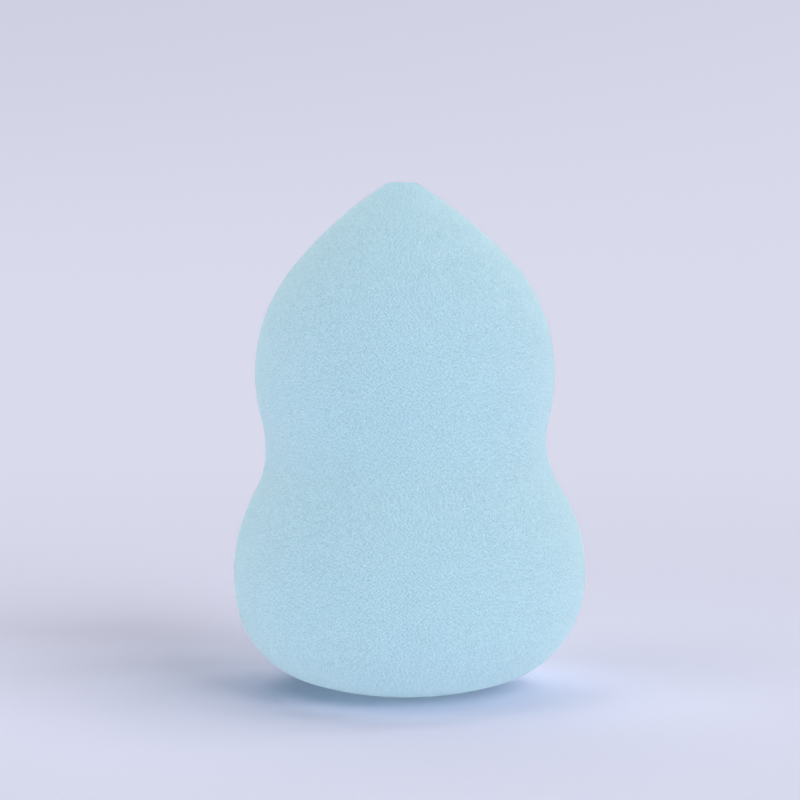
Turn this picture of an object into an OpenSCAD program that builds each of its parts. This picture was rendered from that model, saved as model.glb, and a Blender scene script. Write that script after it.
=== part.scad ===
// Makeup sponge shaped like a gourd, ground from one block of soft polyurethane foam.
// It stands on a small flat with +Z up. The origin is the middle of that flat.
// Half of its outline is a chain of six arcs, each tangent to the next, turned about +Z.
// From the foot up they are the base, the heel, the belly, the waist, the head and the nose.

/* [Overall] */
// Height from the flat that it stands on to the flat at its tip
sponge_h = 60; // [58:0.5:64]

/* [Lower lobe] */
// Width of the lower lobe at its widest
belly_w = 41.6; // [40:0.1:44]
// Height of that widest place above the foot
belly_z = 14; // [13:0.1:16]
// Radius of the arc up its side
belly_r = 19; // [17:0.1:20]
// Radius of the rounded heel between side and base
heel_r = 12; // [6:0.1:13]
// Radius of the gently domed base
base_r = 40; // [34:0.5:60]
// Width of the flat that it stands on
foot_d = 12; // [8:0.5:14]

/* [Waist] */
// Radius of the hollow arc between the lobes
waist_r = 10.8; // [8:0.1:14]

/* [Upper lobe] */
// Width of the upper lobe at its widest
head_w = 35.4; // [33:0.1:37]
// Height of that widest place above the foot
head_z = 37.5; // [36:0.1:39]
// Radius of the arc up its side
head_r = 19.8; // [18:0.1:20.5]

/* [Tip] */
// Radius of the long arc from the upper lobe to the tip
nose_r = 48; // [40:0.5:80]
// Width of the flat left at the tip by the grinder
tip_d = 3.4; // [2.4:0.1:5]

/* [Hidden] */

// Steps round a full turn where curves are drawn as facets
$fn = 120;

// A hair by which tangent arcs cross, so that no gap is left between them
lap = 0.0005;

// Colour of the dyed foam
foam_colour = [0.69, 0.83, 0.89];

// Points of the outline are [distance from the axis, height]

// Direction of a vector
function unit(v) = v / norm(v);

// Where a circle about a crosses a circle about b, to the right of the way from a to b
function meet(a, a_r, b, b_r) =
    let (
        gap = norm(b - a),
        ahead = unit(b - a),
        along = (gap^2 + a_r^2 - b_r^2) / (2 * gap),
        aside = sqrt(a_r^2 - along^2)
    )
    a + along * ahead + aside * [ahead[1], -ahead[0]];

// The lobes' arcs are placed by their widest places, the base by its flat
belly_centre = [belly_w / 2 - belly_r, belly_z];
head_centre = [head_w / 2 - head_r, head_z];
base_centre = [0, sqrt(base_r^2 - (foot_d / 2)^2)];

// The heel touches the base and the belly from inside, and the waist touches both lobes from outside
heel_centre = meet(belly_centre, belly_r - heel_r, base_centre, base_r - heel_r);
waist_centre = meet(belly_centre, belly_r + waist_r, head_centre, head_r + waist_r);

// The nose leaves the head's arc smoothly and ends at the rim of the tip's flat
tip_rim = [tip_d / 2, sponge_h];
nose_centre = meet(tip_rim, nose_r, head_centre, nose_r - head_r);

module disc(centre, radius) {
    translate(centre) circle(r = radius);
}

// What lies outside the heel's arc, between the two places where that arc begins and ends
module heel_corner() {
    towards_base = 2 * heel_r * unit(heel_centre - base_centre);
    towards_side = 2 * heel_r * unit(heel_centre - belly_centre);
    difference() {
        polygon([
            heel_centre,
            heel_centre + towards_base,
            heel_centre + towards_base + towards_side,
            heel_centre + towards_side
        ]);
        disc(heel_centre, heel_r + lap);
    }
}

module lower_lobe() {
    difference() {
        intersection() {
            disc(base_centre, base_r);
            disc(belly_centre, belly_r);
        }
        heel_corner();
    }
}

// Fills the angle between the lobes up to the hollow arc
module waist() {
    difference() {
        polygon([belly_centre, waist_centre, head_centre]);
        disc(waist_centre, waist_r + lap);
    }
}

// The nose's arc takes over above the line on which both arcs have their centres
module nose() {
    take_over = 2 * head_r * unit(head_centre - nose_centre);
    intersection() {
        disc(nose_centre, nose_r - lap);
        polygon([head_centre, head_centre + take_over, head_centre + [0, 2 * head_r]]);
    }
}

module upper_lobe() {
    disc(head_centre, head_r);
    nose();
}

// Half of the outline, cut off at the axis, the foot and the tip
module half_outline() {
    intersection() {
        union() {
            lower_lobe();
            waist();
            upper_lobe();
        }
        square([belly_w, sponge_h]);
    }
}

module foam_body() {
    color(foam_colour)
        rotate_extrude()
            half_outline();
}

foam_body();
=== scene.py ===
# %% [markdown]
# A makeup sponge shaped like a gourd
# The real thing is one block of soft, fine-celled foam, dyed pale cyan and ground to shape.
# It has no seams and no parts, so all of its character lies in three things: a flowing
# outline, a skin of tiny cells, and the way light soaks into foam instead of glancing off.
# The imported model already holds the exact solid. This lesson leaves its size alone and
# gives it a skin worth looking at closely.

import math
import random

import bpy
import numpy as np
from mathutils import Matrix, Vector, noise
from mathutils.bvhtree import BVHTree
from mathutils.kdtree import KDTree


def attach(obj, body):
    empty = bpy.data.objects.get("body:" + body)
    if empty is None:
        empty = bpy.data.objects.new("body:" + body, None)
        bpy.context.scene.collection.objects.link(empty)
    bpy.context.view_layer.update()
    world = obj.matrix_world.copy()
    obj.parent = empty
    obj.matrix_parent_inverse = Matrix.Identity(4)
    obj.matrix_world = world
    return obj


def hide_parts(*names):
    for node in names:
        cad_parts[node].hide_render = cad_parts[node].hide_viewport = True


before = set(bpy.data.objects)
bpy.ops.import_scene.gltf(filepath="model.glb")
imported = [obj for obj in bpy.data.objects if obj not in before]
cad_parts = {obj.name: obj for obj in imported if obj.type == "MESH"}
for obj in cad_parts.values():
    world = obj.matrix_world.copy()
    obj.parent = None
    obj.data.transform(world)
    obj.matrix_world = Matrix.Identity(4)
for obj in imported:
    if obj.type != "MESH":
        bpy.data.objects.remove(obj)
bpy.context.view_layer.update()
MM = 0.001

cad_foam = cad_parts["foam_body"]

# %% [markdown]
# The outline
# A grinder shapes the foam against stones with rounded profiles, so half of the outline is
# a chain of round arcs that flow into each other. It could be traced by hand as a curve,
# or read back from the CAD mesh, but a traced curve wobbles and a mesh has facets that
# show as bands of shade. Working the arcs out again from the drawing's own sizes gives a
# curve that is smooth at any zoom, and the CAD solid then serves to check it.

# %% Sizes from the drawing
SPONGE_H = 60 * MM
BELLY_W, BELLY_Z, BELLY_R = 41.6 * MM, 14 * MM, 19 * MM
HEEL_R = 12 * MM
BASE_R = 40 * MM
FOOT_W = 12 * MM
WAIST_R = 10.8 * MM
HEAD_W, HEAD_Z, HEAD_R = 35.4 * MM, 37.5 * MM, 19.8 * MM
NOSE_R = 48 * MM
TIP_W = 3.4 * MM
# Cut foam never keeps a knife edge, so the tip's rim is eased by this radius
TIP_RIM_R = 0.4 * MM


def unit(v):
    return v / np.linalg.norm(v)


def meet(a, a_r, b, b_r):
    """Where a circle about a crosses a circle about b, right of the way from a to b."""
    gap = np.linalg.norm(b - a)
    along = (gap**2 + a_r**2 - b_r**2) / (2 * gap)
    aside = math.sqrt(a_r**2 - along**2)
    ahead = unit(b - a)
    return a + along * ahead + aside * np.array([ahead[1], -ahead[0]])


# Points of the outline are (distance from the axis, height)
belly_centre = np.array([BELLY_W / 2 - BELLY_R, BELLY_Z])
head_centre = np.array([HEAD_W / 2 - HEAD_R, HEAD_Z])
base_centre = np.array([0, math.sqrt(BASE_R**2 - (FOOT_W / 2) ** 2)])
heel_centre = meet(belly_centre, BELLY_R - HEEL_R, base_centre, BASE_R - HEEL_R)
waist_centre = meet(belly_centre, BELLY_R + WAIST_R, head_centre, HEAD_R + WAIST_R)
tip_edge = np.array([TIP_W / 2, SPONGE_H])
nose_centre = meet(tip_edge, NOSE_R, head_centre, NOSE_R - HEAD_R)
rim_z = SPONGE_H - TIP_RIM_R
rim_reach = math.sqrt((NOSE_R - TIP_RIM_R) ** 2 - (rim_z - nose_centre[1]) ** 2)
rim_centre = np.array([nose_centre[0] + rim_reach, rim_z])
print("waist radius in mm:", round((waist_centre[0] - WAIST_R) / MM, 2))

# %% [markdown]
# Walking along the chain
# Each arc ends where the next one begins, on the line through both centres. Each stretch is
# kept as a function from 0 to 1, and the walk puts a point about every third of a
# millimetre. That is fine enough to carry real unevenness in the mesh, and still
# keeps the whole skin under 200,000 triangles.

# %% The chain of arcs, from the middle of the foot to the middle of the tip
STEP = 0.31 * MM


def straight(start, end):
    start, end = np.array(start), np.array(end)
    return np.linalg.norm(end - start), lambda t: start + (end - start) * t


def arc(centre, start, end):
    radius = np.linalg.norm(start - centre)
    first = math.atan2(*(start - centre)[::-1])
    turn = math.atan2(*(end - centre)[::-1]) - first
    turn = (turn + math.pi) % (2 * math.pi) - math.pi

    def at(t):
        angle = first + turn * t
        return centre + radius * np.array([math.cos(angle), math.sin(angle)])

    return radius * abs(turn), at


foot_edge = np.array([FOOT_W / 2, 0])
joins = [
    foot_edge,
    base_centre + BASE_R * unit(heel_centre - base_centre),
    belly_centre + BELLY_R * unit(heel_centre - belly_centre),
    belly_centre + BELLY_R * unit(waist_centre - belly_centre),
    head_centre + HEAD_R * unit(waist_centre - head_centre),
    nose_centre + NOSE_R * unit(head_centre - nose_centre),
    nose_centre + NOSE_R * unit(rim_centre - nose_centre),
    rim_centre + np.array([0, TIP_RIM_R]),
]
centres = [base_centre, heel_centre, belly_centre, waist_centre, head_centre, nose_centre, rim_centre]
stretches = [straight((0, 0), foot_edge)]
stretches += [arc(c, a, b) for c, a, b in zip(centres, joins, joins[1:])]
stretches.append(straight(joins[-1], (0, SPONGE_H)))

outline = [np.array([0.0, 0.0])]
for length, at in stretches:
    steps = max(1, round(length / STEP))
    outline += [at(k / steps) for k in range(1, steps + 1)]
outline = np.array(outline)
print("outline:", len(outline), "points over", round(sum(s[0] for s in stretches) / MM, 1), "mm")

# %% [markdown]
# From outline to skin
# Blender's Spin tool or a Screw modifier would turn the outline, but both keep the same
# number of corners in every ring, which crowds thousands of slivers round the two poles.
# Here each ring has half as many corners as soon as they come too close, so the faces stay
# nearly square from foot to tip.

# %% Turn the outline into rings of points
# 416 is 13 doubled five times, so that a ring can be halved that often and stay whole
FULL_RING = 416
FEWEST = 13
# Corners crowd when they come closer than this share of a step
CROWDED_SHARE = 0.55


def ring_size(radius):
    """How many corners a ring of this radius has."""
    count = FULL_RING
    while count > FEWEST and 2 * math.pi * radius / count < CROWDED_SHARE * STEP:
        count //= 2
    return count


def turned_points(outline):
    """Points, outward directions and the ring sizes of the outline turned about Z."""
    along = np.gradient(outline, axis=0)
    along /= np.linalg.norm(along, axis=1)[:, None]
    along[0], along[-1] = (1, 0), (-1, 0)
    sizes = [1] + [ring_size(r) for r, _ in outline[1:-1]] + [1]
    points, outward = [], []
    for (r, z), (run, rise), count in zip(outline, along, sizes):
        turn = 2 * np.pi * np.arange(count) / count
        across = np.stack([np.cos(turn), np.sin(turn)], 1)
        points.append(np.column_stack([across * r, np.full(count, z)]))
        outward.append(np.column_stack([across * rise, np.full(count, -run)]))
    return np.concatenate(points), np.concatenate(outward), sizes


points, outward, ring_sizes = turned_points(outline)
print("rings:", len(ring_sizes), "with", sorted(set(ring_sizes)), "corners")

# %% [markdown]
# Faces between the rings
# Two rings of one size are joined by quads. Where a ring has half the corners of its
# neighbour, three triangles stand on each of its sides, so that no corner hangs on the
# middle of an edge, and each pole closes in a fan of triangles. Bridge Edge Loops can also
# join two rings, but it picks its own triangles, and here the pattern is the same all round.

# %% Join the rings
def turned_faces(sizes):
    """Faces between each ring and the next, as numbers of points, all facing out."""
    starts = np.concatenate([[0], np.cumsum(sizes)])
    faces = []
    for low, high, a, b in zip(sizes, sizes[1:], starts, starts[1:]):
        few, many = sorted((low, high))
        for k in range(many if few == 1 else few):
            if low == 1:
                faces.append((a, b + (k + 1) % high, b + k))
            elif high == 1:
                faces.append((a + k, a + (k + 1) % low, b))
            elif low == high:
                after = (k + 1) % low
                faces.append((a + k, a + after, b + after, b + k))
            elif low > high:
                start, end = b + k, b + (k + 1) % high
                left, middle, right = a + 2 * k, a + 2 * k + 1, a + (2 * k + 2) % low
                faces += [(left, middle, start), (middle, end, start), (middle, right, end)]
            else:
                start, end = a + k, a + (k + 1) % low
                left, middle, right = b + 2 * k, b + 2 * k + 1, b + (2 * k + 2) % high
                faces += [(start, middle, left), (start, end, middle), (end, right, middle)]
    return faces


faces = turned_faces(ring_sizes)
print("skin:", len(points), "points,", sum(len(f) - 2 for f in faces), "triangles")

# %% [markdown]
# How true a sponge really is
# A machine-turned solid looks dead because it is perfect. Foam is ground by feel: in the
# photograph the tip leans a little to the left and the lower lobe sits a little to the
# right. The sides are also faintly uneven where the stone passed, by less than a tenth of
# a millimetre. Both are small moves of the points. The lean slides each level sideways,
# and the unevenness is a smooth noise, which pushes points in or out along the skin.

# %% Lean and unevenness
# How far each part stands aside, and the heights between which the foam moves over
LOBE_SHIFT, LOBE_LEVELS = 0.33 * MM, (2 * MM, 14 * MM)
HEAD_SHIFT, HEAD_LEVELS = 0.24 * MM, (20 * MM, 33 * MM)
TIP_LEAN, TIP_LEVELS = 0.33 * MM, (48 * MM, SPONGE_H)
# Size of the hills, depth and seed: one noise for the stone's passes and two for the skin
UNEVENNESS = (
    (12 * MM, 0.04 * MM, 3.1),
    (1.6 * MM, 0.006 * MM, 7.7),
    (0.8 * MM, 0.0036 * MM, 11.3),
)


def ease(z, start, end):
    """0 below start, 1 above end, and a smooth rise between."""
    t = np.clip((z - start) / (end - start), 0, 1)
    return t * t * (3 - 2 * t)


def lean(z):
    """How far the foam is pushed along X at each height."""
    lobe = LOBE_SHIFT * ease(z, *LOBE_LEVELS)
    head = (LOBE_SHIFT + HEAD_SHIFT) * ease(z, *HEAD_LEVELS)
    return lobe - head - TIP_LEAN * ease(z, *TIP_LEVELS)


def wave(points, size, seed):
    """Smooth noise from -1 to 1 whose hills are about this size."""
    shift = Vector((seed, 2 * seed, 3 * seed))
    return np.array([noise.noise(Vector(p) / size + shift) for p in points])


uneven = sum(depth * wave(points, size, seed) for size, depth, seed in UNEVENNESS)
skin = points + outward * uneven[:, None]
skin[:, 0] += lean(points[:, 2])
print("unevenness in mm: from", round(uneven.min() / MM, 3), "to", round(uneven.max() / MM, 3))

# %% [markdown]
# Burst cells
# Most foam cells are too small for the mesh, and the material will draw them. Here and
# there a larger bubble was cut open by the stone and left a soft pit. A pit that is part
# of the mesh keeps its shadow from every side, so a few hundred are pressed into the
# points: seeded random places, each with its own width and depth, as round hollows.

# %% Press the burst cells into the skin
PITS = 260
PIT_SEED = 41
PIT_HALF_WIDTH = (0.3 * MM, 0.5 * MM)
# The depth of a pit, as a share of its half width
PIT_DEPTH_SHARE = (0.05, 0.15)

dice = random.Random(PIT_SEED)
tree = KDTree(len(points))
for i, p in enumerate(points):
    tree.insert(p, i)
tree.balance()

spots = dice.choices(range(len(points)), k=PITS)
pit = np.zeros(len(points))
for spot in spots:
    half_width = dice.uniform(*PIT_HALF_WIDTH)
    depth = half_width * dice.uniform(*PIT_DEPTH_SHARE)
    for _, i, away in tree.find_range(points[spot], half_width):
        pit[i] = max(pit[i], depth * (1 - (away / half_width) ** 2) ** 2)
skin -= outward * pit[:, None]
print("pits:", PITS, "deepest in mm:", round(pit.max() / MM, 3))

# %% [markdown]
# Standing on the table
# The foot is pressed flat by the sponge's own weight. Unevenness and pits must not poke
# through the table, so nothing goes below it and the middle of the foot lies level. The
# finished skin then takes the hard solid's place and rides on the same body. A real one
# gives under a finger and is foam all through.

# %% Make the sponge
skin[:, 2] = np.clip(skin[:, 2], 0, SPONGE_H)
mesh = bpy.data.meshes.new("foam_skin")
mesh.from_pydata([tuple(p) for p in skin], [], faces)
mesh.polygons.foreach_set("use_smooth", [True] * len(mesh.polygons))
mesh.update()
sponge = bpy.data.objects.new("gourd_sponge", mesh)
bpy.context.scene.collection.objects.link(sponge)

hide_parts("foam_body")
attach(sponge, "root")
print("sponge:", sponge.name, "with", len(mesh.polygons), "faces")

# %% [markdown]
# Held against the solid
# The skin comes from the drawing's sizes and not from the CAD mesh, so the two could drift
# apart unseen. Laying one over the other by eye shows a millimetre at best. Asking for the
# nearest spot on the solid, for one point of the skin in fifty, gives the gap as a number.

# %% Measure the gap between skin and solid
CHECK_EVERY = 50

cad_tree = BVHTree.FromPolygons(
    [cad_foam.matrix_world @ v.co for v in cad_foam.data.vertices],
    [tuple(f.vertices) for f in cad_foam.data.polygons],
)
off = [cad_tree.find_nearest(Vector(p))[3] for p in skin[::CHECK_EVERY]]
print("furthest from the CAD solid in mm:", round(max(off) / MM, 2))

# %% [markdown]
# Words for materials
# A material is a graph of nodes. It can be drawn by hand in the Shader Editor, but a graph
# made in code can be read, changed and run again. A few short words keep that code close
# to the graph: add a node, feed its inputs with numbers or with other nodes, do a sum, or
# blend two colours. The colours are given as seen on a screen, while Blender reckons with linear
# values, so one more word turns the first into the second.

# %% Helpers for colours and nodes
def linear(red, green, blue):
    """A colour as seen on screen, 0 to 255, as the linear values that Blender wants."""
    # The numbers are those of the sRGB standard, which screens follow
    shares = [c / 255 for c in (red, green, blue)]
    values = [c / 12.92 if c <= 0.04045 else ((c + 0.055) / 1.055) ** 2.4 for c in shares]
    return (*values, 1.0)


class Nodes:
    """Short words for adding nodes and joining them."""

    def __init__(self, tree):
        self.tree = tree
        tree.nodes.clear()

    def add(self, kind, **settings):
        node = self.tree.nodes.new(kind)
        for name, value in settings.items():
            setattr(node, name, value)
        return node

    def link(self, start, end):
        self.tree.links.new(start, end)

    def put(self, socket, value):
        """Gives an input a number or a colour, or joins it to another node's output."""
        if isinstance(value, bpy.types.NodeSocket):
            self.link(value, socket)
        else:
            socket.default_value = value

    def feed(self, node, **values):
        """Fills inputs by name, where an underscore stands for a space."""
        for name, value in values.items():
            self.put(node.inputs[name.replace("_", " ")], value)
        return node

    def math(self, operation, *values):
        """One Math node, and what it gives."""
        node = self.add("ShaderNodeMath", operation=operation)
        for socket, value in zip(node.inputs, values):
            self.put(socket, value)
        return node.outputs[0]

    def blend(self, share, low, high):
        """A colour between low and high."""
        node = self.add("ShaderNodeMix", data_type="RGBA")
        # A Mix node has sockets for every kind of data. Inputs 6 and 7 and output 2 are colours
        for place, value in ((0, share), (6, low), (7, high)):
            self.put(node.inputs[place], value)
        return node.outputs[2]


print("screen grey 128 in linear values:", round(linear(128, 128, 128)[0], 3))

# %% [markdown]
# Foam, as a material
# Seen from a hand's width away the foam is a dull, even cyan with a fine grain: cells of
# nearly one size, half a millimetre from one to the next, light and dark in equal parts.
# A photo texture would need UVs and would repeat. Plain noise has spots of every size, and
# Voronoi cells look too crisp. What the eye sees as grain is how far a spot stands out from
# its neighbours, so the grain is made that way: fine noise, less the mean of the same
# noise read a quarter of a millimetre away on all six sides.

# %% The foam's grain
SPOT = 0.145 * MM
NEIGHBOUR = 0.22 * MM
GRAIN_CONTRAST = 1.6
MIDDLE = 0.5


def foam_grain(n, place):
    """About 0 in the mouth of a cell and about 1 on the wall between two."""

    def dots(shift):
        moved = n.add("ShaderNodeVectorMath", operation="ADD")
        n.put(moved.inputs[0], place)
        n.put(moved.inputs[1], shift)
        fine = n.feed(n.add("ShaderNodeTexNoise"), Vector=moved.outputs[0], Scale=1 / SPOT, Detail=0.0)
        return fine.outputs["Fac"]

    around = [Vector(axis) * side * NEIGHBOUR for axis in np.eye(3) for side in (-1, 1)]
    proud = dots((0, 0, 0))
    for shift in around:
        proud = n.math("MULTIPLY_ADD", dots(shift), -1 / len(around), proud)
    return n.math("MULTIPLY_ADD", proud, GRAIN_CONTRAST, MIDDLE)


print("dots in mm:", round(SPOT / MM, 3), "read again in mm from there:", round(NEIGHBOUR / MM, 3))

# %% [markdown]
# Colour, bump and soft light
# The same grain does three jobs. It mixes a darker colour for the mouths, painted shade in
# the cell hollows, with a paler one for the walls, it is the height for a small bump, and it makes the
# mouths a touch rougher.
# Foam has no gloss, and light that enters it spreads before it comes out. So the shader is
# almost fully rough, part of it is subsurface scattering, and a faint sheen stands for
# the broken cell walls, thin enough to pass the dye's colour on, which catch light where
# the surface turns away.

# %% The foam material
FOAM_WALL = linear(189, 219, 230)
# The darker colour of the cell mouths is painted shade in the hollows of the cells
FOAM_MOUTH_SHADE = linear(154, 188, 203)
FOAM_CLOUD = linear(170, 209, 220)
CLOUD_SIZE, CLOUD_SHARE = 14 * MM, 0.2
MOUTH_ROUGHNESS, WALL_ROUGHNESS = 0.97, 0.85
BUMP_DEPTH = 0.07 * MM
# How far red, green and blue light spread in the foam, in millimetres
SPREAD = (0.8, 1.1, 1.2)
SHEEN = (0.7, 0.95, 0.8, 1.0)


def foam_material():
    mat = bpy.data.materials.new("cyan_foam")
    mat.use_nodes = True
    n = Nodes(mat.node_tree)
    place = n.add("ShaderNodeTexCoord").outputs["Object"]
    grain = foam_grain(n, place)

    clouds = n.feed(n.add("ShaderNodeTexNoise"), Vector=place, Scale=1 / CLOUD_SIZE, Detail=2.0)
    # Painted shade: the grain darkens the colour in the cell mouths
    dye_and_cell_shade = n.blend(grain, FOAM_MOUTH_SHADE, FOAM_WALL)
    dye_and_cell_shade = n.blend(n.math("MULTIPLY", clouds.outputs["Fac"], CLOUD_SHARE), dye_and_cell_shade, FOAM_CLOUD)
    bump = n.feed(n.add("ShaderNodeBump"), Height=grain, Strength=1.0, Distance=BUMP_DEPTH)
    rough = n.math("MULTIPLY_ADD", grain, WALL_ROUGHNESS - MOUTH_ROUGHNESS, MOUTH_ROUGHNESS)

    foam = n.feed(
        n.add("ShaderNodeBsdfPrincipled"),
        Base_Color=dye_and_cell_shade,
        Roughness=rough,
        Normal=bump.outputs["Normal"],
        Diffuse_Roughness=1.0,
        Specular_IOR_Level=0.2,
        Subsurface_Weight=0.3,
        Subsurface_Radius=SPREAD,
        Subsurface_Scale=MM,
        Sheen_Weight=0.15,
        Sheen_Roughness=0.25,
        Sheen_Tint=SHEEN,
    )
    out = n.add("ShaderNodeOutputMaterial")
    n.link(foam.outputs["BSDF"], out.inputs["Surface"])
    return mat


sponge.data.materials.append(foam_material())
print("foam nodes:", len(sponge.data.materials[0].node_tree.nodes))

# %% [markdown]
# The paper it stands on
# The photograph stands the sponge on pale lilac paper that fades away behind it. A curved
# paper sweep would do, but it would show its back when the sponge is seen from elsewhere.
# A wide flat floor that turns into the colour of the sky at a distance looks the same
# from every side, and near the sponge it is plain paper that takes shadows.

# %% Floor
# Half the floor's width, in metres
FLOOR_HALF = 3.0
# Two surfaces in exactly one plane flicker, so the paper lies a hair below the foot
FLOOR_GAP = 0.02 * MM
PAPER = linear(231, 232, 252)
FAR_PAPER = linear(217, 218, 236)
# The backdrop's darker colour higher up and at the left is painted shade on the paper
HIGH_PAPER_SHADE = linear(207, 208, 226)
# Distances from the sponge between which the paper turns into its far colour, in metres
HAZE_FROM, HAZE_TO = 0.06, 0.4


def floor_material():
    mat = bpy.data.materials.new("lilac_paper")
    mat.use_nodes = True
    n = Nodes(mat.node_tree)
    paper = n.feed(n.add("ShaderNodeBsdfDiffuse"), Color=PAPER)
    haze = n.feed(n.add("ShaderNodeEmission"), Color=FAR_PAPER)
    away = n.add("ShaderNodeVectorMath", operation="LENGTH")
    n.put(away.inputs[0], n.add("ShaderNodeTexCoord").outputs["Object"])
    far = n.feed(
        n.add("ShaderNodeMapRange", interpolation_type="SMOOTHSTEP"),
        Value=away.outputs["Value"],
        From_Min=HAZE_FROM,
        From_Max=HAZE_TO,
    )
    seen = n.math("MULTIPLY", far.outputs["Result"], n.add("ShaderNodeLightPath").outputs["Is Camera Ray"])
    mix = n.feed(n.add("ShaderNodeMixShader"), Fac=seen)
    n.link(paper.outputs["BSDF"], mix.inputs[1])
    n.link(haze.outputs["Emission"], mix.inputs[2])
    out = n.add("ShaderNodeOutputMaterial")
    n.link(mix.outputs["Shader"], out.inputs["Surface"])
    return mat


floor_mesh = bpy.data.meshes.new("paper_floor")
corners = [(x * FLOOR_HALF, y * FLOOR_HALF, -FLOOR_GAP) for x, y in ((-1, -1), (1, -1), (1, 1), (-1, 1))]
floor_mesh.from_pydata(corners, [], [(0, 1, 2, 3)])
floor = bpy.data.objects.new("paper_floor", floor_mesh)
bpy.context.scene.collection.objects.link(floor)
floor_mesh.materials.append(floor_material())
print("floor:", 2 * FLOOR_HALF, "m wide")

# %% [markdown]
# What the camera sees of the sky
# Behind the sponge there is only more lilac paper, with painted shade that makes it a little darker
# towards the top left.
# A second sheet standing up would meet the floor in a line, so the world plays the
# backdrop: its colour depends on the height looked at, and at the horizon it is exactly
# the floor's far colour from every side. It must not light the sponge with a second hue,
# so it is only there for the camera, for gloss and for glass. Lamps give all the light.

# %% World
# From this height of the view's direction up the backdrop is darkest, where 0 is the
# horizon, and at the left it gets there sooner
DARKEST_FROM = 0.19
MORE_AT_LEFT = 1.36

world = bpy.data.worlds.new("paper_backdrop")
bpy.context.scene.world = world
world.use_nodes = True
n = Nodes(world.node_tree)
looking = n.add("ShaderNodeSeparateXYZ")
n.put(looking.inputs[0], n.add("ShaderNodeTexCoord").outputs["Generated"])
leftness = n.math("MULTIPLY_ADD", looking.outputs["X"], -MORE_AT_LEFT, 1.0)
height = n.math("MULTIPLY", looking.outputs["Z"], leftness)
rise = n.feed(
    n.add("ShaderNodeMapRange", interpolation_type="SMOOTHSTEP"),
    Value=height,
    From_Min=0.0,
    From_Max=DARKEST_FROM,
)
# Painted shade: the backdrop turns darker higher up and at the left
sheet = n.blend(rise.outputs["Result"], FAR_PAPER, HIGH_PAPER_SHADE)
backdrop = n.feed(n.add("ShaderNodeBackground"), Color=sheet, Strength=1.0)
unlit = n.feed(n.add("ShaderNodeBackground"), Color=(0, 0, 0, 1), Strength=0.0)

path = n.add("ShaderNodeLightPath").outputs
shown = n.math("MAXIMUM", path["Is Camera Ray"], path["Is Glossy Ray"])
shown = n.math("MAXIMUM", shown, path["Is Transmission Ray"])
mix = n.feed(n.add("ShaderNodeMixShader"), Fac=shown)
n.link(unlit.outputs["Background"], mix.inputs[1])
n.link(backdrop.outputs["Background"], mix.inputs[2])
out = n.add("ShaderNodeOutputWorld")
n.link(mix.outputs["Shader"], out.inputs["Surface"])
print("world:", world.name, "darkest from height", DARKEST_FROM)

# %% [markdown]
# Two sets of light
# In the photograph the sponge is lit almost flat, yet its shadow on the paper is plain, as
# happens when a product shot is retouched. One set of lamps can't do both. Light linking
# gives the sponge and the paper a set each: a lamp then reaches only the things in its
# receiver collection, and only the things in its blocker collection throw a shadow in it.
# Every lamp is a sun with a wide angle, which acts as a softbox or as a large white card
# that never stands in the picture. Multiple importance sampling is off, because it also
# looks for a lamp along the rays that a surface scatters, and there anything in the way
# counts, blocker or not: with it on, a linked lamp gives less light than it says.

# %% A softbox that lights one thing
only_sponge = bpy.data.collections.new("only_sponge")
only_sponge.objects.link(sponge)
only_paper = bpy.data.collections.new("only_paper")
only_paper.objects.link(floor)


def softbox(name, lit, way, angle, strength, colour=(1.0, 1.0, 1.0)):
    """A sun as wide as the angle, in degrees. Strength 1 lights a surface that faces it fully."""
    lamp = bpy.data.lights.new(name, "SUN")
    lamp.color = colour
    lamp.energy = strength * math.pi
    lamp.angle = math.radians(angle)
    lamp.cycles.use_multiple_importance_sampling = False
    box = bpy.data.objects.new(name, lamp)
    box.rotation_euler = Vector(way).to_track_quat("Z", "Y").to_euler()
    bpy.context.scene.collection.objects.link(box)
    box.light_linking.receiver_collection = lit
    box.light_linking.blocker_collection = only_sponge
    return box


print("collections:", only_sponge.name, "and", only_paper.name)

# %% [markdown]
# Light for the sponge
# Five cards stand round the sponge like the walls of a white box, and one key light from
# the right makes that side a little paler. The card on top is the strongest, as a ceiling
# light would be. The lilac paper already sends blue light up at the base, so the card
# below is warm to balance it.

# %% The key and the cards
WARM = (1.0, 0.8, 0.6)
sponge_lights = [
    softbox("key_light", only_sponge, way=(0.89, -0.18, 0.42), angle=50, strength=0.3),
    softbox("card_front", only_sponge, way=(0, -1, 0), angle=120, strength=0.525),
    softbox("card_left", only_sponge, way=(-1, 0, 0), angle=120, strength=0.122),
    softbox("card_back", only_sponge, way=(0, 1, 0), angle=120, strength=0.5),
    softbox("card_top", only_sponge, way=(0, 0, 1), angle=150, strength=0.71),
    softbox("card_below", only_sponge, way=(0, 0, -1), angle=170, strength=0.16, colour=WARM),
]
print("lights on the sponge:", [box.name for box in sponge_lights])

# %% [markdown]
# Light for the paper
# The sponge is in the blocker collection of these lamps too, so it still casts its shadow.
# A low light from the front right draws the long soft shadow at the left, and higher ones
# from the sides and the back make the dark band round the foot.

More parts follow.
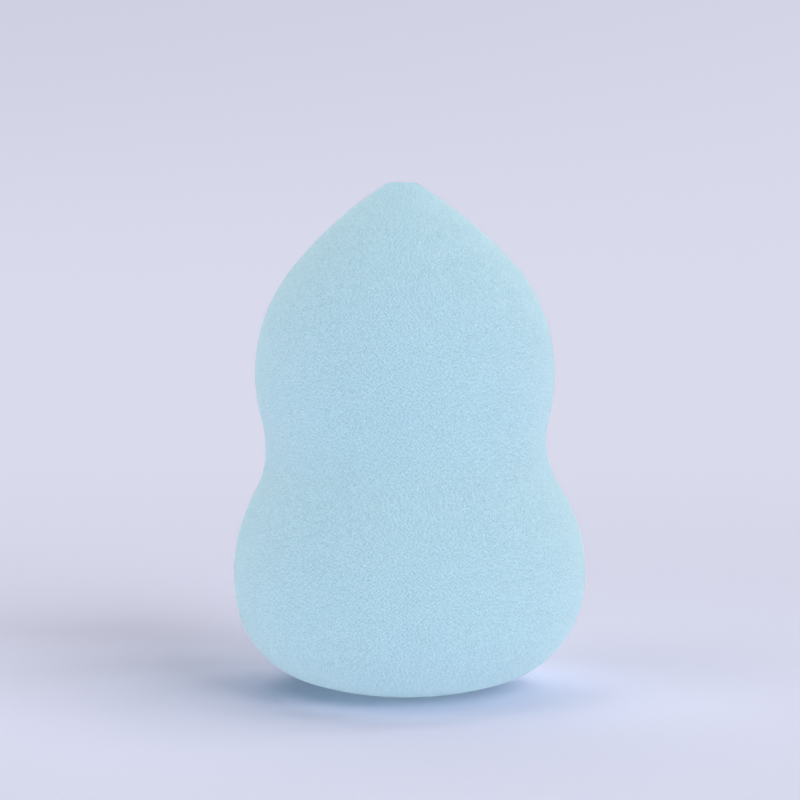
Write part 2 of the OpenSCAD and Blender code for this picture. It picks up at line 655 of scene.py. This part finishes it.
# %% The lights that draw the shadow
def toward(azimuth, height):
    """Direction of a lamp, in degrees clockwise from straight behind the sponge and above the floor."""
    turn, rise = math.radians(azimuth), math.radians(height)
    return (math.cos(rise) * math.sin(turn), math.cos(rise) * math.cos(turn), math.sin(rise))


paper_lights = [
    softbox("front_right_light", only_paper, toward(azimuth=139, height=24), angle=41, strength=0.6),
    softbox("right_light", only_paper, toward(azimuth=100, height=49), angle=23, strength=0.16),
    softbox("back_right_light", only_paper, toward(azimuth=58, height=61), angle=18, strength=0.13),
    softbox("back_light", only_paper, toward(azimuth=355, height=63), angle=45, strength=0.27),
    softbox("left_light", only_paper, toward(azimuth=235, height=52), angle=35, strength=0.145),
]
print("lights on the paper:", [box.name for box in paper_lights])

# %% [markdown]
# The camera
# The photograph was taken from close by: the waist is seen from slightly above, the tip
# from slightly below and the foot from well above, which only happens when the camera is
# a few object heights away. That makes it a camera about 250 mm off, held a little below
# the tip and tilted down a touch.

# %% Camera
# In pixels of the photograph: its side, the sponge's axis from the left, and the level of
# the lens from the top. The scale is the one at the sponge's axis.
PHOTO_SIDE = 800
PHOTO_AXIS_X = 406.9
PHOTO_HORIZON_Y = 310.1
PIXELS_PER_MM = 8.45
CAMERA_BACK = 250 * MM
CAMERA_HEIGHT = 45 * MM
# Width of the sensor in millimetres, Blender's own
SENSOR = 36

focal_px = PIXELS_PER_MM * CAMERA_BACK / MM
camera_data = bpy.data.cameras.new("camera")
camera_data.sensor_width = SENSOR
camera_data.lens = SENSOR * focal_px / PHOTO_SIDE
tilt = math.atan((PHOTO_SIDE / 2 - PHOTO_HORIZON_Y) / focal_px)
camera = bpy.data.objects.new("camera", camera_data)
aside = -(PHOTO_AXIS_X - PHOTO_SIDE / 2) / PIXELS_PER_MM * MM
camera.location = (aside, -CAMERA_BACK, CAMERA_HEIGHT)
camera.rotation_euler = (math.pi / 2 - tilt, 0, 0)
bpy.context.scene.collection.objects.link(camera)
bpy.context.scene.camera = camera
bpy.context.scene.view_settings.view_transform = "Standard"
print("lens:", round(camera_data.lens, 1), "mm, tilted down", round(math.degrees(tilt), 1), "degrees")
